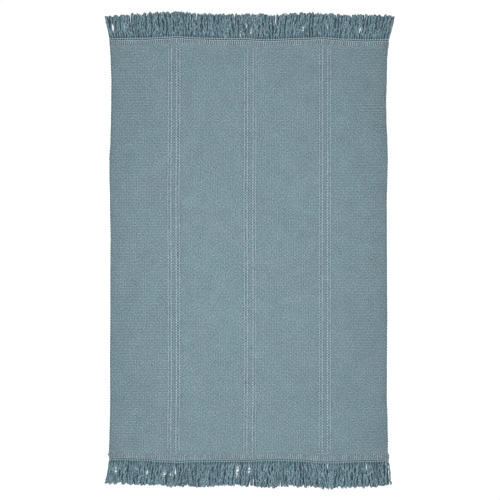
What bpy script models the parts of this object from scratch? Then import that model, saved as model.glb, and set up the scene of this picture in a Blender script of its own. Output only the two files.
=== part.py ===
"""Flatweave rug with a fringe at both ends, lying flat, face up.

Metres, +Z up. The origin is under the middle of the rug on the surface that it lies
on. The warp runs along Y, the picks across along X. The rug is one woven cloth, whose
warp ends are left as a fringe beyond a corded row at each end. Each fringe is one comb:
the corded row is its back and the bundles of warp ends are its teeth.
"""

import math

import bpy

# ---- driving dimensions, in metres ----------------------------------------------------
CLOTH_THICKNESS = 0.0040
FRINGE_THICKNESS = 0.0040
CORD_ROW_DEPTH = 0.0036  # the corded row between the cloth and the free ends
GAP = 0.0003  # between the cloth and each comb
OUTLINE_STEP = 0.010  # spacing of the points along the cloth's edges
TOOTH_PITCH = 0.00495  # one bundle of warp ends, beside the next
TOOTH_FILL = 0.76  # width of a bundle over its pitch
UNEVEN_TIPS = 0.0022  # how far a bundle ends short of, or past, its neighbours
UNEVEN_SWAY = 0.0002  # how far a bundle's middle strays sideways
CLUMPS = ((0.031, 0.0006, 0.4), (0.017, 0.0003, 1.7))  # pitch, lean and phase of the clumps

MM = 0.001

# The selvages are a little wavy, and the cloth is narrower where the beat was harder.
SELVAGES = {
    "columns": ("y_mm", "left_mm", "right_mm"),
    "rows": (
        (-421.0, -282.0, 278.2),
        (-411.0, -283.2, 277.6),
        (-404.0, -282.6, 276.0),
        (-380.0, -281.8, 276.2),
        (-340.0, -280.7, 275.4),
        (-300.0, -280.1, 274.1),
        (-220.0, -280.5, 274.3),
        (-140.0, -279.8, 274.8),
        (-60.0, -279.8, 274.5),
        (20.0, -279.3, 274.2),
        (100.0, -280.5, 273.9),
        (150.0, -281.6, 275.2),
        (180.0, -281.6, 276.0),
        (220.0, -279.6, 275.0),
        (260.0, -278.6, 273.2),
        (300.0, -278.0, 272.7),
        (340.0, -277.7, 273.9),
        (380.0, -279.1, 274.5),
        (400.0, -280.0, 275.8),
        (412.0, -281.5, 277.7),
        (424.0, -281.7, 278.4),
    ),
}

# The corded rows bow outwards where the openwork stripes meet them.
CORD_ROWS = {
    "columns": ("x_mm", "far_y_mm", "near_y_mm"),
    "rows": (
        (-283.0, 423.0, -419.2),
        (-215.0, 423.5, -419.2),
        (-170.0, 426.0, -422.6),
        (-142.0, 427.8, -424.2),
        (-105.0, 426.6, -424.0),
        (-65.0, 425.2, -423.2),
        (-10.0, 424.4, -421.2),
        (24.0, 422.6, -420.2),
        (60.0, 421.7, -420.6),
        (100.0, 423.5, -422.8),
        (150.0, 425.8, -424.8),
        (195.0, 423.8, -424.0),
        (240.0, 421.9, -422.8),
        (279.0, 422.8, -421.6),
    ),
}

# Where the free ends reach, and how far each bundle leans sideways by its tip.
FRINGE_ENDS = {
    "columns": ("x_mm", "far_tip_y_mm", "far_lean_mm", "near_tip_y_mm", "near_lean_mm"),
    "rows": (
        (-283.0, 469.5, -7.6, -466.4, -8.0),
        (-262.0, 470.5, -4.0, -467.2, -3.8),
        (-228.0, 472.5, -0.8, -469.5, -0.8),
        (-180.0, 475.4, 0.6, -470.5, 0.5),
        (-144.0, 475.2, -0.4, -473.2, -0.2),
        (-96.0, 472.6, 0.5, -472.6, 0.4),
        (-24.0, 471.2, -0.3, -470.6, -0.3),
        (24.0, 471.4, 0.4, -474.0, 0.5),
        (50.0, 470.4, 0.2, -472.8, 0.0),
        (96.0, 475.2, -0.5, -472.8, -0.4),
        (144.0, 473.0, 0.3, -475.2, 0.2),
        (204.0, 470.6, 0.8, -474.6, -0.5),
        (250.0, 469.6, 5.0, -473.6, 0.6),
        (279.0, 469.0, 12.0, -469.0, 4.0),
    ),
}

CLOTH_BLUE = (0.205, 0.287, 0.323, 1.0)
FRINGE_BLUE = (0.128, 0.199, 0.231, 1.0)
ROUGHNESS = 0.9


# ---- helpers --------------------------------------------------------------------------
def column(table, name):
    index = table["columns"].index(name)
    return [row[index] * MM for row in table["rows"]]


def along(table, where, what, at):
    """The table's column `what` at a place `at` in its column `where`, eased between rows."""
    places, values = column(table, where), column(table, what)
    if at <= places[0]:
        return values[0]
    for k in range(len(places) - 1):
        if at <= places[k + 1]:
            t = (at - places[k]) / (places[k + 1] - places[k])
            t = t * t * (3 - 2 * t)
            return values[k] + (values[k + 1] - values[k]) * t
    return values[-1]


def uneven(n, seed):
    """A repeatable number from -1 to 1 for the nth bundle."""
    s = math.sin(12.9898 * (n + 1) + 78.233 * seed) * 43758.5453
    return 2 * (s - math.floor(s)) - 1


def steps(start, end, step):
    count = max(1, round(abs(end - start) / step))
    return [start + (end - start) * k / count for k in range(count + 1)]


def flat_piece(name, outline, thickness, colour, parts):
    """A flat outline, filled on both sides and as thick as asked, lying on z = 0."""
    curve = bpy.data.curves.new(name, "CURVE")
    curve.dimensions = "2D"
    curve.fill_mode = "BOTH"
    curve.extrude = thickness / 2
    spline = curve.splines.new("POLY")
    spline.points.add(len(outline) - 1)
    for point, (x, y) in zip(spline.points, outline):
        point.co = (x, y, 0.0, 1.0)
    spline.use_cyclic_u = True
    obj = bpy.data.objects.new(name, curve)
    obj.location = (0.0, 0.0, thickness / 2)
    material = bpy.data.materials.new(name + "_yarn")
    material.use_nodes = True
    shader = material.node_tree.nodes["Principled BSDF"]
    shader.inputs["Base Color"].default_value = colour
    shader.inputs["Roughness"].default_value = ROUGHNESS
    shader.inputs["Metallic"].default_value = 0.0
    material.diffuse_color = colour
    curve.materials.append(material)
    parts.objects.link(obj)
    return obj


# ---- outlines -------------------------------------------------------------------------
def cord_row(x, end):
    return along(CORD_ROWS, "x_mm", end + "_y_mm", x)


def selvage(y, side):
    return along(SELVAGES, "y_mm", side + "_mm", y)


def cloth_outline():
    """Round the woven cloth: its near end, right selvage, far end and left selvage."""
    inset = CORD_ROW_DEPTH / 2 + GAP
    near_left, near_right = selvage(-0.421, "left"), selvage(-0.421, "right")
    far_left, far_right = selvage(0.424, "left"), selvage(0.424, "right")
    near = [(x, cord_row(x, "near") + inset) for x in steps(near_left, near_right, OUTLINE_STEP)]
    far = [(x, cord_row(x, "far") - inset) for x in steps(far_right, far_left, OUTLINE_STEP)]
    right = [(selvage(y, "right"), y) for y in steps(near[-1][1], far[0][1], OUTLINE_STEP)]
    left = [(selvage(y, "left"), y) for y in steps(far[-1][1], near[0][1], OUTLINE_STEP)]
    return near + right[1:-1] + far + left[1:-1]


def comb_outline(end, sign):
    """One comb: its back follows the cloth's end, and its teeth point away from it."""
    edge_y = 0.424 if sign > 0 else -0.421
    left, right = selvage(edge_y, "left"), selvage(edge_y, "right")
    count = round((right - left) / TOOTH_PITCH)
    pitch = (right - left) / count
    half = TOOTH_FILL * pitch / 2
    inner = [
        (x, cord_row(x, end) - sign * CORD_ROW_DEPTH / 2)
        for x in steps(left, right, OUTLINE_STEP)
    ]
    teeth = []
    for n in reversed(range(count)):
        x = left + (n + 0.5) * pitch
        root_y = cord_row(x, end) + sign * CORD_ROW_DEPTH / 2
        tip_y = along(FRINGE_ENDS, "x_mm", end + "_tip_y_mm", x)
        tip_y += UNEVEN_TIPS * uneven(n, 1 + sign)
        lean = along(FRINGE_ENDS, "x_mm", end + "_lean_mm", x)
        lean += sum(size * math.sin(math.tau * x / every + phase + sign) for every, size, phase in CLUMPS)
        middle_x = x + 0.42 * lean + UNEVEN_SWAY * uneven(n, 5 + sign)
        middle_y = root_y + 0.5 * (tip_y - root_y)
        tip_x = x + lean
        teeth += [
            (x + half, root_y),
            (middle_x + half, middle_y),
            (tip_x + 0.8 * half, tip_y),
            (tip_x - 0.8 * half, tip_y - sign * 0.0006 * uneven(n, 9)),
            (middle_x - half, middle_y),
            (x - half, root_y),
        ]
    outline = inner + teeth
    return outline if sign > 0 else outline[::-1]


# ---- the rug --------------------------------------------------------------------------
def main():
    for old in list(bpy.data.objects):
        bpy.data.objects.remove(old, do_unlink=True)
    parts = bpy.data.collections.new("flatweave_rug")
    bpy.context.scene.collection.children.link(parts)
    flat_piece("cloth", cloth_outline(), CLOTH_THICKNESS, CLOTH_BLUE, parts)
    flat_piece("fringe_far", comb_outline("far", 1), FRINGE_THICKNESS, FRINGE_BLUE, parts)
    flat_piece("fringe_near", comb_outline("near", -1), FRINGE_THICKNESS, FRINGE_BLUE, parts)


main()
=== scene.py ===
"""Flatweave rug with a fringe at both ends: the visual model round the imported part.

Lengths in this file are in millimetres until a mesh is made, and then in metres. The warp
runs along Y and the picks across along X. The cloth is one closed sheet whose face has a
point at every crossing of a warp and a pick. The fringes, corded rows, warp floats of the
openwork stripes, heading stitches and selvage turns are tubes that lie on it or leave it.
"""

import math

import bpy
import numpy as np
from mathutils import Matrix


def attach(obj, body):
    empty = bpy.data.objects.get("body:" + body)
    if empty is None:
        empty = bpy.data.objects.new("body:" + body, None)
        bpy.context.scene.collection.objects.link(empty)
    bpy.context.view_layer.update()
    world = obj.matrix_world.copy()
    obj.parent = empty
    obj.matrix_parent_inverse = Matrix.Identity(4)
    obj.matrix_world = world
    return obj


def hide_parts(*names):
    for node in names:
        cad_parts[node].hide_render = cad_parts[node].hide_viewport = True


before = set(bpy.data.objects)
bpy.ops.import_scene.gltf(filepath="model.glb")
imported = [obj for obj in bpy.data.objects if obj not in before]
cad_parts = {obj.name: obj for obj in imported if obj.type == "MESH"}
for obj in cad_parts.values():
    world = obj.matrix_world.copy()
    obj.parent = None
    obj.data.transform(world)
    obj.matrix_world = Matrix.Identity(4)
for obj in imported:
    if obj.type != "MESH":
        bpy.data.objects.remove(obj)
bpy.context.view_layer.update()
MM = 0.001

# ---- the rug's outline, as in the CAD ----------------------------------------------------
# y, left selvage, right selvage
SELVAGES = np.array([
    (-421.0, -282.0, 278.2), (-411.0, -283.2, 277.6), (-404.0, -282.6, 276.0),
    (-380.0, -281.8, 276.2), (-340.0, -280.7, 275.4), (-300.0, -280.1, 274.1),
    (-220.0, -280.5, 274.3), (-140.0, -279.8, 274.8), (-60.0, -279.8, 274.5),
    (20.0, -279.3, 274.2), (100.0, -280.5, 273.9), (150.0, -281.6, 275.2),
    (180.0, -281.6, 276.0), (220.0, -279.6, 275.0), (260.0, -278.6, 273.2),
    (300.0, -278.0, 272.7), (340.0, -277.7, 273.9), (380.0, -279.1, 274.5),
    (400.0, -280.0, 275.8), (412.0, -281.5, 277.7), (424.0, -281.7, 278.4),
])
# x, middle of the far corded row, middle of the near one
CORD_ROWS = np.array([
    (-283.0, 423.0, -419.2), (-215.0, 423.5, -419.2), (-170.0, 426.0, -422.6),
    (-142.0, 427.8, -424.2), (-105.0, 426.6, -424.0), (-65.0, 425.2, -423.2),
    (-10.0, 424.4, -421.2), (24.0, 422.6, -420.2), (60.0, 421.7, -420.6),
    (100.0, 423.5, -422.8), (150.0, 425.8, -424.8), (195.0, 423.8, -424.0),
    (240.0, 421.9, -422.8), (279.0, 422.8, -421.6),
])
# x, and how far the beat has pulled the row as it shows from there, at the far and near end
SEAM_PULL = np.array([
    (-283.0, -0.3, -0.3), (-258.0, -0.3, -0.3), (-222.0, -0.1, -1.3), (-186.0, -0.3, -1.5),
    (-150.0, -0.5, -0.9), (-114.0, -2.4, 0.7), (-78.0, -2.1, 0.9), (-42.0, -2.1, -0.1),
    (-6.0, -1.3, -1.7), (30.0, -1.9, -1.3), (66.0, 0.1, 0.3), (102.0, -0.3, 0.7),
    (138.0, -0.9, -1.1), (174.0, -2.1, -1.3), (210.0, -2.1, 0.1), (246.0, -1.3, -0.1),
    (279.0, -1.5, -0.1),
])
# x, far tips, far lean, near tips, near lean
FRINGE_ENDS = np.array([
    (-283.0, 469.5, -7.6, -466.4, -8.0), (-262.0, 470.5, -4.0, -467.2, -3.8),
    (-228.0, 472.5, -0.8, -469.5, -0.8), (-180.0, 475.4, 0.6, -470.5, 0.5),
    (-144.0, 475.2, -0.4, -473.2, -0.2), (-96.0, 472.6, 0.5, -472.6, 0.4),
    (-24.0, 471.2, -0.3, -470.6, -0.3), (24.0, 471.4, 0.4, -474.0, 0.5),
    (50.0, 470.4, 0.2, -472.8, 0.0), (96.0, 475.2, -0.5, -472.8, -0.4),
    (144.0, 473.0, 0.3, -475.2, 0.2), (204.0, 470.6, 0.8, -474.6, -0.5),
    (250.0, 469.6, 5.0, -473.6, 0.6), (279.0, 469.0, 12.0, -469.0, 4.0),
])

# ---- the weave ---------------------------------------------------------------------------
# Warp number and where it lies at mid length. A stripe is two ladders, and a ladder is a
# missing warp between two that float. The first and last warps are the selvages.
WARP_MARKS = np.array([0, 46, 47, 48, 52, 53, 54, 106, 107, 108, 112, 113, 114,
                       166, 167, 168, 172, 173, 174, 220])
WARP_PLACES = np.array([0.0, -163.5, -160.6, -157.8, -147.3, -144.2, -141.1, -11.3, -8.4, -5.4,
                        6.0, 8.8, 11.5, 138.8, 141.9, 144.8, 155.2, 158.1, 160.9, 0.0])
HOLE_WARPS = np.array([47, 53, 107, 113, 167, 173])
FLOAT_WARPS = np.array([46, 48, 52, 54, 106, 108, 112, 114, 166, 168, 172, 174])
WARPS = 221
# y, and how far each stripe wanders sideways there
WANDER = np.array([
    (-420.0, -0.8, -0.9, -0.3), (-364.0, -0.9, -0.9, -0.3), (-284.0, 0.1, 0.0, -0.2),
    (-204.0, 0.2, 0.1, -0.1), (-124.0, 0.1, 0.1, 0.0), (-44.0, 0.0, 0.1, 0.0),
    (36.0, -0.5, -0.4, -0.2), (116.0, -1.0, -0.5, 0.1), (196.0, 0.0, 0.2, 0.4),
    (276.0, 0.5, 0.4, 0.3), (356.0, 0.8, 0.5, 0.4), (420.0, 0.8, 0.6, 0.4),
])
STRIPE_OF_MARK = np.array([-1] + [0] * 6 + [1] * 6 + [2] * 6 + [-1])
# The heading's picks, by their distance from the middle of the corded row.
HEADING = np.array([2.0, 3.9, 6.0, 8.0, 10.0, 12.1, 14.2, 16.3])
FIELD_PICKS = 301
PICKS = FIELD_PICKS + 2 * len(HEADING)
HEADING_END = 18.8
EDGE_IN = 0.9  # the selvage turns stand this far outside the first warp
# x, and how strongly every other pick and every other warp stands out there. Both together
# leave one bead to four crossings. The beat is even across the rug and the tension isn't.
BEADS = np.array([
    (-280.0, 0.140, 0.090), (-225.0, 0.145, 0.100), (-150.0, 0.110, 0.095), (-120.0, 0.055, 0.080),
    (-60.0, 0.045, 0.080), (0.0, 0.055, 0.105), (60.0, 0.070, 0.135), (120.0, 0.070, 0.125),
    (165.0, 0.090, 0.080), (215.0, 0.120, 0.070), (275.0, 0.125, 0.065),
])


def eased(table, column, at):
    """The table's column at places in its first column, eased between rows."""
    places, values = table[:, 0], table[:, column]
    at = np.asarray(at, float)
    k = np.clip(np.searchsorted(places, at, side="right") - 1, 0, len(places) - 2)
    t = np.clip((at - places[k]) / (places[k + 1] - places[k]), 0.0, 1.0)
    t = t * t * (3 - 2 * t)
    return values[k] + (values[k + 1] - values[k]) * t


def noise(u, v, seed):
    """Smooth repeatable noise from -1 to 1, one value to a unit of u and v."""
    lattice = np.random.default_rng(seed).uniform(-1.0, 1.0, (256, 256))
    u, v = np.broadcast_arrays(np.asarray(u, float), np.asarray(v, float))
    iu, iv = np.floor(u).astype(int), np.floor(v).astype(int)
    fu, fv = u - iu, v - iv
    fu, fv = fu * fu * (3 - 2 * fu), fv * fv * (3 - 2 * fv)
    a, b, c, d = iu % 256, (iu + 1) % 256, iv % 256, (iv + 1) % 256
    low = lattice[a, c] * (1 - fu) + lattice[b, c] * fu
    high = lattice[a, d] * (1 - fu) + lattice[b, d] * fu
    return low * (1 - fv) + high * fv


def ramp(x, start, end):
    t = np.clip((np.asarray(x, float) - start) / (end - start), 0.0, 1.0)
    return t * t * (3 - 2 * t)


# ---- meshes ------------------------------------------------------------------------------
def mesh_piece(name, verts, tris, material, points=None, corner_maps=None):
    """A smooth triangle mesh. points are values per vertex, corner_maps UVs per corner."""
    mesh = bpy.data.meshes.new(name)
    mesh.vertices.add(len(verts))
    mesh.vertices.foreach_set("co", (np.asarray(verts) * MM).astype(np.float32).ravel())
    mesh.loops.add(3 * len(tris))
    mesh.loops.foreach_set("vertex_index", np.asarray(tris, np.int32).ravel())
    mesh.polygons.add(len(tris))
    mesh.polygons.foreach_set("loop_start", np.arange(0, 3 * len(tris), 3, dtype=np.int32))
    mesh.update(calc_edges=True)
    mesh.polygons.foreach_set("use_smooth", np.ones(len(tris), bool))
    for key, values in (points or {}).items():
        layer = mesh.attributes.new(key, "FLOAT", "POINT")
        layer.data.foreach_set("value", np.asarray(values, np.float32).ravel())
    for key, values in (corner_maps or {}).items():
        layer = mesh.uv_layers.new(name=key)
        layer.data.foreach_set("uv", np.asarray(values, np.float32).ravel())
    mesh.materials.append(material)
    obj = bpy.data.objects.new(name, mesh)
    bpy.context.scene.collection.objects.link(obj)
    return obj


class Strands:
    """Closed tubes, collected set by set into one mesh."""

    def __init__(self):
        self.sets = []

    def add(self, paths, radii, sides, turn=0.0, flat=1.0, flank=1.0, **points):
        """paths (n, k, 3), radii and every point value (n, k). flat is height over width, and flank is the painted
        shade on a yarn's flanks: the share of its crown's brightness that they keep."""
        paths = np.asarray(paths, float)
        n, k = paths.shape[:2]
        radii = np.broadcast_to(np.asarray(radii, float), (n, k))
        points = {key: np.broadcast_to(np.asarray(v, float), (n, k)) for key, v in points.items()}
        self.sets.append((paths, radii, sides, turn, flat, flank, points))

    def build(self, name, material):
        total = sum(s[0].shape[0] for s in self.sets)
        across = math.ceil(math.sqrt(total))
        down = math.ceil(total / across)
        verts, tris, yarn_uv, bake_uv, values = [], [], [], [], {}
        start, cell = 0, 0
        for paths, radii, sides, turn, flat, flank, points in self.sets:
            n, k = paths.shape[:2]
            along = np.gradient(paths, axis=1)
            along /= np.linalg.norm(along, axis=2, keepdims=True) + 1e-12
            side = np.cross(along, np.array([0.0, 0.0, 1.0]))
            side /= np.linalg.norm(side, axis=2, keepdims=True) + 1e-12
            top = np.cross(side, along)
            a = turn + math.tau * np.arange(sides) / sides
            ring = (
                side[:, :, None, :] * np.cos(a)[None, None, :, None]
                + flat * top[:, :, None, :] * np.sin(a)[None, None, :, None]
            )
            body = paths[:, :, None, :] + radii[:, :, None, None] * ring
            ends = paths[:, [0, -1], :]
            verts += [body.reshape(-1, 3), ends.reshape(-1, 3)]
            # corner table of one tube, as (station, side) pairs, the caps' middles last
            i, j = np.meshgrid(np.arange(k - 1), np.arange(sides), indexing="ij")
            i, j = i.ravel(), j.ravel()
            quad = [(i, j), (i + 1, j), (i + 1, j + 1), (i, j + 1)]
            faces = [[quad[0], quad[1], quad[2]], [quad[0], quad[2], quad[3]]]
            at_station = np.concatenate([np.stack([c[0] for c in f], 1) for f in faces])
            at_side = np.concatenate([np.stack([c[1] for c in f], 1) for f in faces])
            index = at_station * sides + at_side % sides
            js = np.arange(sides)
            cap0 = np.stack([np.full(sides, -1), js, js + 1], 1)
            cap1 = np.stack([np.full(sides, -1), js + 1, js], 1)
            tube = np.arange(n)[:, None, None]
            base = start + tube * k * sides
            middle = start + n * k * sides + tube * 2
            body_tris = index[None] + base
            first = np.concatenate([np.broadcast_to(middle, (n, sides, 1)), cap0[None, :, 1:] % sides + base], 2)
            last_ring = (k - 1) * sides
            last = np.concatenate([np.broadcast_to(middle + 1, (n, sides, 1)), cap1[None, :, 1:] % sides + last_ring + base], 2)
            tris.append(np.concatenate([body_tris, first, last], 1).reshape(-1, 3))
            length = np.concatenate([np.zeros((n, 1)), np.cumsum(np.linalg.norm(np.diff(paths, axis=1), axis=2), 1)], 1)
            u = np.concatenate([at_side, np.where(cap0 < 0, 0, cap0), np.where(cap1 < 0, 0, cap1)]) / sides
            v = np.concatenate([at_station, np.zeros((sides, 3), int), np.full((sides, 3), k - 1)])
            yarn = np.empty((n, len(u), 3, 2))
            yarn[..., 0] = u
            yarn[..., 1] = length[:, v]
            yarn_uv.append(yarn.reshape(-1, 2))
            number = cell + np.arange(n)
            bake = np.empty((n, len(u), 3, 2))
            bake[..., 0] = ((number % across)[:, None, None] + 0.12 + 0.76 * u) / across
            bake[..., 1] = ((number // across)[:, None, None] + 0.08 + 0.84 * v / (k - 1)) / down
            bake_uv.append(bake.reshape(-1, 2))
            for key, value in points.items():
                spread = np.repeat(value[:, :, None], sides, 2)
                if key == "relief":
                    # painted shade: darker down a yarn's flanks, lightest on its crown
                    spread = spread * (flank + (1.0 - flank) * np.clip(np.sin(a), 0.0, 1.0) ** 0.7)
                values.setdefault(key, []).append(np.concatenate([spread.reshape(-1), value[:, [0, -1]].reshape(-1)]))
            start += n * k * sides + 2 * n
            cell += n
        return mesh_piece(
            name,
            np.concatenate(verts),
            np.concatenate(tris),
            material,
            {key: np.concatenate(v) for key, v in values.items()},
            {"Yarn": np.concatenate(yarn_uv), "OFBake": np.concatenate(bake_uv)},
        )


# ---- materials ---------------------------------------------------------------------------
class Nodes:
    """A short way to write a node tree."""

    def __init__(self, name, roughness, sheen):
        self.material = bpy.data.materials.new(name)
        self.material.use_nodes = True
        self.tree = self.material.node_tree
        self.shader = self.tree.nodes["Principled BSDF"]
        self.shader.inputs["Roughness"].default_value = roughness
        self.shader.inputs["Specular IOR Level"].default_value = 0.25
        self.shader.inputs["Sheen Weight"].default_value = sheen
        self.shader.inputs["Sheen Roughness"].default_value = 0.55

    def new(self, kind, inputs=(), out=0, **settings):
        node = self.tree.nodes.new("ShaderNode" + kind)
        for key, value in settings.items():
            setattr(node, key, value)
        for key, value in inputs:
            if isinstance(value, bpy.types.NodeSocket):
                self.tree.links.new(value, node.inputs[key])
            else:
                node.inputs[key].default_value = value
        return node.outputs[out]

    def math(self, operation, a, b=0.0, c=0.0):
        return self.new("Math", [(0, a), (1, b), (2, c)], operation=operation)

    def attribute(self, name):
        return self.new("Attribute", out="Fac", attribute_type="GEOMETRY", attribute_name=name)

    def noise(self, vector, scale, detail=2.0, roughness=0.55):
        return self.new(
            "TexNoise",
            [("Vector", vector), ("Scale", scale), ("Detail", detail), ("Roughness", roughness)],
            out="Fac",
        )

    def between(self, factor, low, high):
        """low where the factor is 0.3, high where it is 0.7, which is a noise's usual span."""
        return self.new(
            "MapRange",
            [("Value", factor), ("From Min", 0.3), ("From Max", 0.7), ("To Min", low), ("To Max", high)],
        )

    def mixed(self, factor, a, b):
        node = self.tree.nodes.new("ShaderNodeMix")
        node.data_type = "RGBA"
        for key, value in (("Factor_Float", factor), ("A_Color", a), ("B_Color", b)):
            socket = next(s for s in node.inputs if s.identifier == key)
            if isinstance(value, bpy.types.NodeSocket):
                self.tree.links.new(value, socket)
            else:
                socket.default_value = value
        return next(s for s in node.outputs if s.identifier == "Result_Color")

    def times(self, colour, factor):
        return self.new("VectorMath", [(0, colour), ("Scale", factor)], operation="SCALE")

    def finish(self, colour, bump, strength, distance, roughness=None):
        self.tree.links.new(colour, self.shader.inputs["Base Color"])
        normal = self.new("Bump", [("Strength", strength), ("Distance", distance), ("Height", bump)])
        self.tree.links.new(normal, self.shader.inputs["Normal"])
        if roughness is not None:
            self.tree.links.new(roughness, self.shader.inputs["Roughness"])
        return self.material


def cloth_material():
    n = Nodes("woven_yarn_grey_blue", 0.92, 0.12)
    place = n.new("TexCoord", out="Object")
    weave = n.new("UVMap", uv_map="Weave")
    across, along, _ = (n.new("SeparateXYZ", [(0, weave)], out=k) for k in range(3))
    # Which yarn is on top: a warp where warp and pick numbers are both even or both odd.
    cu = n.math("COSINE", n.math("MULTIPLY", across, math.pi))
    cv = n.math("COSINE", n.math("MULTIPLY", along, math.pi))
    warp_on_top = n.math("GREATER_THAN", n.math("MULTIPLY", cu, cv), 0.0)
    warp_fibres = n.noise(n.new("CombineXYZ", [(0, n.math("MULTIPLY", across, 6.5)), (1, n.math("MULTIPLY", along, 1.3))]), 1.0, 3.0)
    pick_fibres = n.noise(n.new("CombineXYZ", [(0, n.math("MULTIPLY", across, 1.3)), (1, n.math("MULTIPLY", along, 6.5))]), 1.0, 3.0)
    fibres = n.math("ADD", n.math("MULTIPLY", warp_fibres, warp_on_top),
                    n.math("MULTIPLY", pick_fibres, n.math("SUBTRACT", 1.0, warp_on_top)))
    rounding = n.math("ADD", n.math("MULTIPLY", n.math("ABSOLUTE", cu), warp_on_top),
                      n.math("MULTIPLY", n.math("ABSOLUTE", cv), n.math("SUBTRACT", 1.0, warp_on_top)))
    # Dye takes a little unevenly, in patches a hand wide and from yarn to yarn.
    patches = n.math("MULTIPLY_ADD", n.noise(place, 45.0, 2.0), 0.45, n.math("MULTIPLY", n.noise(place, 13.0, 3.0), 0.55))
    colour = n.mixed(n.between(patches, 0.0, 1.0), TEAL, MAUVE)
    colour = n.mixed(n.between(n.noise(place, 210.0, 2.0), 0.0, 0.30), colour, HEATHER)
    # painted shade and highlight from the cloth's points: lighter beads, darker pits, holes and sides, with some random
    # tone
    colour = n.times(colour, n.attribute("relief"))
    colour = n.times(colour, n.between(n.noise(place, 38.0, 2.0), 0.963, 1.037))
    colour = n.times(colour, n.between(n.noise(place, 620.0, 1.0), 0.93, 1.07))
    colour = n.times(colour, n.between(n.noise(place, 120.0, 2.0), 0.98, 1.02))
    column, line = (n.math("FLOOR", n.math("ADD", number, 0.5)) for number in (across, along))
    around = [n.new("TexWhiteNoise", [("Vector", n.new("CombineXYZ", [(0, n.math("ADD", column, dx)), (1, n.math("ADD", line, dy))]))])
              for dx, dy in ((0.0, 0.0), (-1.0, 0.0), (1.0, 0.0), (0.0, -1.0), (0.0, 1.0))]
    others = n.math("ADD", n.math("ADD", around[1], around[2]), n.math("ADD", around[3], around[4]))
    own_tone = n.math("MULTIPLY_ADD", others, -0.25, around[0])
    own_tone = n.math("MULTIPLY_ADD", warp_on_top, 0.10, n.math("ADD", own_tone, -0.05))
    colour = n.times(colour, n.math("MULTIPLY_ADD", own_tone, 0.45, 1.0))
    colour = n.times(colour, n.between(fibres, 0.90, 1.10))
    # painted shade: each yarn is darker towards its edges than on its crown
    colour = n.times(colour, n.new("MapRange", [("Value", rounding), ("To Min", 0.90), ("To Max", 1.04)]))
    fuzz = n.noise(place, 2600.0, 2.0)
    height = n.math("ADD", n.math("MULTIPLY", rounding, 0.7),
                    n.math("ADD", n.math("MULTIPLY", fibres, 0.5), n.math("MULTIPLY", fuzz, 0.12)))
    return n.finish(colour, height, 0.22, 0.00045, n.between(fuzz, 0.86, 0.97))


def yarn_material(name, light, dark, sheen=0.12, plies=2.0, twist=0.13, flecks=0.04):
    """Twisted yarn on a tube: Yarn's u goes round it and v is millimetres along it."""
    n = Nodes(name, 0.92, sheen)
    place = n.new("TexCoord", out="Object")
    yarn = n.new("UVMap", uv_map="Yarn")
    around, along, _ = (n.new("SeparateXYZ", [(0, yarn)], out=k) for k in range(3))
    turn = n.math("ADD", n.math("MULTIPLY", around, plies), n.math("MULTIPLY", along, twist))
    groove = n.math("ABSOLUTE", n.math("COSINE", n.math("MULTIPLY", turn, math.pi)))
    streak = n.noise(n.new("CombineXYZ", [(0, n.math("MULTIPLY", turn, 3.0)), (1, n.math("MULTIPLY", along, 0.35)), (2, n.attribute("tone"))]), 2.0, 3.0)
    fuzz = n.noise(place, 2600.0, 2.0)
    colour = n.mixed(n.between(streak, 0.0, 1.0), dark, light)
    colour = n.times(colour, n.between(n.noise(place, 430.0, 2.0), 1.0 - flecks, 1.0 + flecks))
    tone = n.attribute("tone")
    crown = n.math("MAXIMUM", tone, 1.0)  # a tone above one, on a paler yarn and on a painted highlight alike, is made paler too
    pale = n.new("CombineXYZ", [(0, n.math("MULTIPLY", tone, n.math("POWER", crown, 0.33))), (1, tone), (2, tone)])
    colour = n.new("VectorMath", [(0, colour), (1, pale)], operation="MULTIPLY")
    relief = n.attribute("relief")  # painted shade, darker and bluer in a yarn's deep folds than on its crowns
    painted_fold_shade = n.new("CombineXYZ", [(0, n.math("POWER", relief, 1.14)), (1, relief), (2, n.math("POWER", relief, 0.92))])
    colour = n.new("VectorMath", [(0, colour), (1, painted_fold_shade)], operation="MULTIPLY")
    # painted shade in the grooves between the plies
    colour = n.times(colour, n.new("MapRange", [("Value", groove), ("To Min", 0.86), ("To Max", 1.03)]))
    height = n.math("ADD", n.math("MULTIPLY", groove, 0.6), n.math("ADD", n.math("MULTIPLY", streak, 0.5), n.math("MULTIPLY", fuzz, 0.15)))
    return n.finish(colour, height, 0.25, 0.0003, n.between(fuzz, 0.86, 0.97))


TEAL = (0.2040, 0.3220, 0.3590, 1.0)
MAUVE = (0.2260, 0.3040, 0.3510, 1.0)
HEATHER = (0.2390, 0.3320, 0.3750, 1.0)
FRINGE_LIGHT = (0.2590, 0.3880, 0.4400, 1.0)
FRINGE_DARK = (0.1480, 0.2640, 0.3180, 1.0)
THREAD_LIGHT = (0.300, 0.238, 0.258, 1.0)
THREAD_DARK = (0.195, 0.143, 0.160, 1.0)

cloth_finish = cloth_material()
fringe_finish = yarn_material("fringe_yarn_grey_blue", FRINGE_LIGHT, FRINGE_DARK, flecks=0.42)
cord_finish = yarn_material("woven_yarn_corded", HEATHER, TEAL, twist=0.2)
thread_finish = yarn_material("sewing_thread_mauve", THREAD_LIGHT, THREAD_DARK, sheen=0.05, twist=0.6)


# ---- the woven cloth ---------------------------------------------------------------------
def cord_line(x, end):
    return eased(CORD_ROWS, 1 if end > 0 else 2, x)


def seam_line(x, end):
    """The middle of the corded row as it shows."""
    return cord_line(x, end) + eased(SEAM_PULL, 1 if end > 0 else 2, x)


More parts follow.
